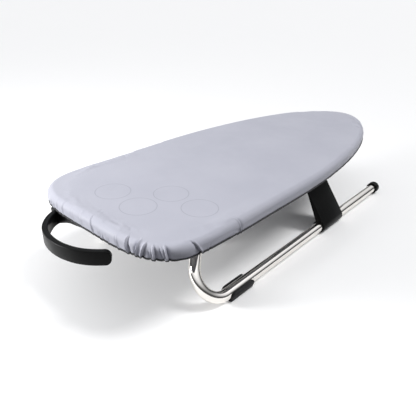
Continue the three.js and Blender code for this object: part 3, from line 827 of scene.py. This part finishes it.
def hem_stitches():
    """The row of thread that closes the hem's channel, seen from below the board.

    Each stitch is a small spindle: two ends on the cloth and four corners round its middle.
    """
    into_cloth = 0.1 * MM
    stitched = HEM_AT - HEM_INSET + STITCH_INSET
    row = int(np.argmin([abs(down - stitched) for down, _, _, _ in ROWS]))
    count = int(PERIMETER / STITCH_PITCH)
    vertices = []
    faces = []
    for start in np.arange(count) * (PERIMETER / count):
        at = start + np.array([0, STITCH_LENGTH / 2, STITCH_LENGTH])
        points, normals = board_edge(at)
        flat = points - normals * STITCH_INSET
        heights = np.interp(np.mod(at, PERIMETER), cloth_at, cloth[row][:, 2], period=PERIMETER)
        (first, middle, last), side = flat, normals[1] * STITCH_WIDTH
        base = len(vertices)
        vertices.append((*first, heights[0] + into_cloth))
        vertices.append((*last, heights[2] + into_cloth))
        for across, rise in ((1, 0.0), (0, -STITCH_WIDTH), (-1, 0.0), (0, STITCH_WIDTH)):
            vertices.append((*(middle + side * across), heights[1] + rise))
        for i in range(4):
            a, b = base + 2 + i, base + 2 + (i + 1) % 4
            faces.append((base, a, b))
            faces.append((base + 1, b, a))
    thread = new_object("hem_stitching", vertices, faces, THREAD, "board")
    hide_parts("cover")


hem_stitches()


# ---- elastic edging ----------------------------------------------------------------
# The band's section, (outward, upward) from the cover's lower edge, in millimetres.
EDGING = (
    (1.4, 0.2), (2.6, -0.2), (2.9, -0.9), (2.3, -1.7), (0.4, -1.9), (-2.0, -1.6),
    (-8.0, -1.45), (-8.4, -0.9), (-8.0, -0.3), (-2.0, -0.1),
)


def elastic_edging():
    """The black band sewn under the cover's lower edge; it follows every gather."""
    under = [i for i, row in enumerate(ROWS) if abs(row[0] - UNDER_AT) < 0.01 * MM][0]
    edge = cloth[under]
    _, normals = board_edge(cloth_at)
    rings = []
    for out, rise in EDGING:
        flat = edge[:, :2] + normals * (out * MM)
        rings.append(np.column_stack([flat, edge[:, 2] + rise * MM]))
    vertices, faces = loft(rings + rings[:1])
    band = new_object("elastic_edging", vertices, faces, ELASTIC, "board")
    weld(band)
    smooth(band, 60)
    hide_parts("hem_elastic")


elastic_edging()


# ---- felt pad ----------------------------------------------------------------------
PAD_INSET = 5.5 * MM                        # from the board's edge
PAD_DROP = 1.2 * MM                         # its top below the CAD pad's, clear of the settled cloth
PAD_SHOULDER = 10 * MM
PAD_MIDDLE = 60 * MM                        # its faces' inner ring, inside which they are flat


def felt_pad():
    """The felt as one closed slab with a rounded shoulder."""
    low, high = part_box("pad")
    at = np.linspace(0, PERIMETER, 240, endpoint=False)
    points, normals = board_edge(at)
    top = high.z - PAD_DROP
    steps = [(PAD_MIDDLE, top), (24 * MM, top)]
    for i in range(9):
        a = i / 8 * math.pi / 2
        inset = PAD_INSET + PAD_SHOULDER * (1 - math.sin(a))
        steps.append((inset, low.z + (top - low.z) * math.cos(a)))
    steps.append((PAD_MIDDLE, low.z))
    rings = [
        np.column_stack([points - normals * offset, np.full(len(points), z)]) for offset, z in steps
    ]
    vertices, faces = loft(rings, cap_start=True, cap_end=True)
    pad = smooth(new_object("pad_felt", vertices, faces, FELT, "board"), 50)
    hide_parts("pad")


felt_pad()


# ---- camera, light and floor -------------------------------------------------------
CAMERA_PLACE = Vector((BOARD_X - 0.2610, -0.4375, 0.4158))
CAMERA_YAW = math.radians(40.92)
CAMERA_PITCH = math.radians(27.67)
CAMERA_ROLL = math.radians(1.72)
CAMERA_LENS = 37.28                         # on a 36 mm sensor


def make_camera():
    """The camera, turned by its yaw and pitch and then rolled about its own line of sight."""
    heading = Vector((math.cos(CAMERA_YAW), math.sin(CAMERA_YAW), 0))
    right = Vector((math.sin(CAMERA_YAW), -math.cos(CAMERA_YAW), 0))
    up = Vector((0, 0, 1))
    forward = heading * math.cos(CAMERA_PITCH) - up * math.sin(CAMERA_PITCH)
    down = -heading * math.sin(CAMERA_PITCH) - up * math.cos(CAMERA_PITCH)
    across = right * math.cos(CAMERA_ROLL) - down * math.sin(CAMERA_ROLL)
    below = right * math.sin(CAMERA_ROLL) + down * math.cos(CAMERA_ROLL)
    camera = bpy.data.objects.new("camera", bpy.data.cameras.new("camera"))
    bpy.context.scene.collection.objects.link(camera)
    camera.data.lens = CAMERA_LENS
    camera.data.sensor_width = 36
    camera.data.clip_start = 0.01
    turn = Matrix((across, -below, -forward)).transposed().to_4x4()
    camera.matrix_world = Matrix.Translation(CAMERA_PLACE) @ turn
    bpy.context.scene.camera = camera


def area_light(name, place, target, size, power):
    data = bpy.data.lights.new(name, "AREA")
    data.shape = "RECTANGLE"
    data.size, data.size_y = size
    data.energy = power
    light = bpy.data.objects.new(name, data)
    bpy.context.scene.collection.objects.link(light)
    light.location = place
    light.rotation_euler = (Vector(target) - Vector(place)).to_track_quat("-Z", "Y").to_euler()


# The dome's brightness by height, from 0 for the horizon and all below it to 1 overhead.
DOME_BASE = (0.36, 0.36, 0.37, 1)
DOME_STEPS = ((0.02, 0.05), (0.24, 0.05), (0.44, 0.50))
DOME_TOP = (1.13, 1.14, 1.17, 1)
DOME_STRENGTH = 0.62
DOME_STRENGTH_REFLECTED = 1.5
BACKDROP_STRENGTH = 1.6
SUN_STRENGTH = 1.95
SUN_SPREAD = math.radians(20)
TO_SUN = Vector((0.48, -0.46, 1.0))
FLOOR_REACH = 80.0


def make_world():
    """A pale dome over a dark band at the horizon, which draws the dark lines in the chrome.

    The camera itself sees a plain white backdrop. Below the horizon the dome stands in for the light
    that the floor throws back up. Reflections see it brighter, as they would the lamps' pale diffusers.
    """
    world = bpy.data.worlds.new("studio")
    bpy.context.scene.world = world
    world.use_nodes = True
    tree = world.node_tree
    background = tree.nodes["Background"]
    parts = tree.nodes.new("ShaderNodeSeparateXYZ")
    tree.links.new(tree.nodes.new("ShaderNodeTexCoord").outputs["Generated"], parts.inputs[0])
    ramp = tree.nodes.new("ShaderNodeValToRGB")
    tree.links.new(parts.outputs["Z"], ramp.inputs["Fac"])
    stops = ramp.color_ramp.elements
    stops[0].position, stops[0].color = 0.0, DOME_BASE
    stops[1].position, stops[1].color = 1.0, DOME_TOP
    for height, grey in DOME_STEPS:
        stops.new(height).color = (grey, grey * 1.01, grey * 1.04, 1)
    path = tree.nodes.new("ShaderNodeLightPath")
    backdrop = tree.nodes.new("ShaderNodeBackground")
    backdrop.inputs["Strength"].default_value = BACKDROP_STRENGTH
    seen = tree.nodes.new("ShaderNodeMixShader")
    tree.links.new(path.outputs["Is Camera Ray"], seen.inputs[0])
    tree.links.new(background.outputs["Background"], seen.inputs[1])
    tree.links.new(backdrop.outputs["Background"], seen.inputs[2])
    tree.links.new(seen.outputs["Shader"], tree.nodes["World Output"].inputs["Surface"])
    tree.links.new(ramp.outputs["Color"], background.inputs["Color"])
    strength = tree.nodes.new("ShaderNodeMapRange")
    strength.inputs["To Min"].default_value = DOME_STRENGTH
    strength.inputs["To Max"].default_value = DOME_STRENGTH_REFLECTED
    tree.links.new(path.outputs["Is Glossy Ray"], strength.inputs["Value"])
    tree.links.new(strength.outputs["Result"], background.inputs["Strength"])


def make_floor():
    """A pale floor that takes the shadow; the dome stands in for the light it would throw back."""
    floor_mesh = bpy.data.meshes.new("floor")
    r = FLOOR_REACH
    floor_mesh.from_pydata([(-r, -r, 0), (r, -r, 0), (r, r, 0), (-r, r, 0)], [], [(0, 1, 2, 3)])
    floor = bpy.data.objects.new("floor", floor_mesh)
    bpy.context.scene.collection.objects.link(floor)
    pale = Shader("pale_floor", (0.95, 0.95, 0.95), 0.7)
    pale.clear_from_behind()
    floor_mesh.materials.append(pale.material)
    floor.visible_diffuse = False


def make_studio():
    """The floor, the dome, one soft sun and a lamp at the wide end's side."""
    make_floor()
    make_world()
    sun = bpy.data.objects.new("overhead", bpy.data.lights.new("overhead", "SUN"))
    bpy.context.scene.collection.objects.link(sun)
    sun.data.energy = SUN_STRENGTH
    sun.data.angle = SUN_SPREAD
    sun.rotation_euler = (-TO_SUN).to_track_quat("-Z", "Y").to_euler()
    area_light("left", (-1.18, 0.68, 0.42), (-0.3, 0, 0.1), (0.3, 0.3), 18)
    bpy.context.scene.view_settings.view_transform = "Standard"


make_camera()
make_studio()


# ---- legs --------------------------------------------------------------------------
TUBE_RADIUS = 9 * MM
TUBE_WALL = 1.5 * MM
TUBE_SIDES = 48
BEND_RADIUS = 37 * MM
BEND_ANGLE = math.radians(128.7)
BEND_REACH = 99 * MM                        # the lower bend's furthest x from the wide end
AXLE_BEND_RADIUS = 27 * MM
PLUG_FLANGE = 2.8 * MM                      # the axle plug's part outside the tube
JOINTS = {joint["child"]: joint for joint in frame["joints"]}


def arc(cx, cy, radius, start, end, steps):
    """Points along an arc, both ends included."""
    angles = np.linspace(start, end, steps + 1)
    return [(cx + radius * math.cos(a), cy + radius * math.sin(a)) for a in angles]


def leg_centre_line(leg):
    """The bent tube's centre line, closely stepped round both bends.

    It is laid out in the leg's own plane, x along the board and u up the leg, and then leaned by SPLAY.
    """
    side = -1 if leg == "near" else 1
    low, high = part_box(f"{leg}_leg_tube")
    _, axle_y, axle_z = JOINTS[f"{leg}_leg"]["pos_m"]
    lower_z = low.z + TUBE_RADIUS
    arm = (axle_z - lower_z) / math.cos(SPLAY)
    lower_y = axle_y + side * arm * math.sin(SPLAY)
    turn = math.pi - BEND_ANGLE
    bend_x = BOARD_X + BEND_REACH + BEND_RADIUS
    riser = (bend_x - BEND_RADIUS * math.sin(turn), BEND_RADIUS * (1 + math.cos(turn)))
    tangent = AXLE_BEND_RADIUS * math.tan(turn / 2)
    rise = arm - riser[1] - tangent * math.sin(turn)
    axle_start = riser[0] + rise / math.tan(turn) + tangent * (1 + math.cos(turn))
    plane = [(high.x, 0.0), (bend_x + 60 * MM, 0.0), (bend_x + 20 * MM, 0.0)]
    lowest = 1.5 * math.pi
    highest = math.pi / 2
    plane += arc(bend_x, BEND_RADIUS, BEND_RADIUS, lowest, lowest - BEND_ANGLE, 44)
    plane += arc(axle_start, arm - AXLE_BEND_RADIUS, AXLE_BEND_RADIUS, highest + turn, highest, 18)
    axle_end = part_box(f"{leg}_axle_plug")[1].x - PLUG_FLANGE
    plane += [(axle_start + 20 * MM, arm), (axle_end, arm)]
    return [
        Vector((x, lower_y - side * u * math.sin(SPLAY), lower_z + u * math.cos(SPLAY)))
        for x, u in plane
    ]


def swept_tube(path, radius, wall):
    """A round tube with its wall, along a path that stays in one plane."""
    tangents = []
    for i, p in enumerate(path):
        before = (p - path[i - 1]).normalized() if i else (path[1] - p).normalized()
        after = (path[i + 1] - p).normalized() if i + 1 < len(path) else before
        tangents.append((before + after).normalized())
    flat = (path[0] - path[len(path) // 2]).cross(path[-1] - path[len(path) // 2]).normalized()

    def ring(i, r):
        side = tangents[i].cross(flat).normalized()
        return [
            path[i] + side * (r * math.cos(a)) + flat * (r * math.sin(a))
            for a in np.linspace(0, 2 * math.pi, TUBE_SIDES, endpoint=False)
        ]

    outer = [ring(i, radius) for i in range(len(path))]
    inner = [ring(i, radius - wall) for i in range(len(path))]
    return loft(outer + inner[::-1] + [outer[0]])


def build_leg(leg):
    """Every piece that turns with one leg."""
    body = f"{leg}_leg"
    vertices, faces = swept_tube(leg_centre_line(leg), TUBE_RADIUS, TUBE_WALL)
    tube = new_object(f"{leg}_tube", vertices, faces, CHROME, body)
    weld(tube)
    smooth(tube, 50)
    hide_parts(f"{leg}_leg_tube")
    for node, name, rounding, material, slot in (
        ("leg_bracket", "bracket", 0.9, BLACK, "black_plastic"),
        ("foot_clip", "foot", 0.8, RUBBER, "foot_rubber"),
        ("end_cap", "cap", 1.2, BLACK, "black_plastic"),
        ("axle_plug", "plug", 0.6, BLACK, "black_plastic"),
        ("bracket_rivet_lower", "rivet_lower", 0.4, ZINC, "zinc_steel"),
        ("bracket_rivet_upper", "rivet_upper", 0.4, ZINC, "zinc_steel"),
    ):
        moulded(f"{leg}_{node}", f"{leg}_{name}", rounding * MM, material, body)


for leg in ("near", "far"):
    build_leg(leg)


# ---- under the board ---------------------------------------------------------------
def build_mounting(leg):
    """The board's own mouldings that carry one leg."""
    for node, name, rounding in (
        ("hinge_block_rear", "bearing_rear", 0.6),
        ("hinge_block_front", "bearing_front", 0.6),
        ("leg_stop", "stop", 0.6),
        ("storage_clip", "clip", 0.5),
    ):
        moulded(f"{leg}_{node}", f"{leg}_{name}", rounding * MM, GREY, "board")


moulded("hanging_hook", "hook", 1.0 * MM, BLACK, "board")
for leg in ("near", "far"):
    build_mounting(leg)
for end in ("rear", "front"):
    moulded(f"{end}_cross_rail", f"{end}_rail", 0.4 * MM, PAINT, "board")
for node in frame["nodes"]:
    if "screw" in node:
        moulded(node, f"{node}_head", 0.35 * MM, ZINC, "board")
moulded("deck_sheet", "deck", 0.3 * MM, PAINT, "board", segments=2)
moulded("deck_rim", "deck_edge", 0.3 * MM, PAINT, "board", segments=2)
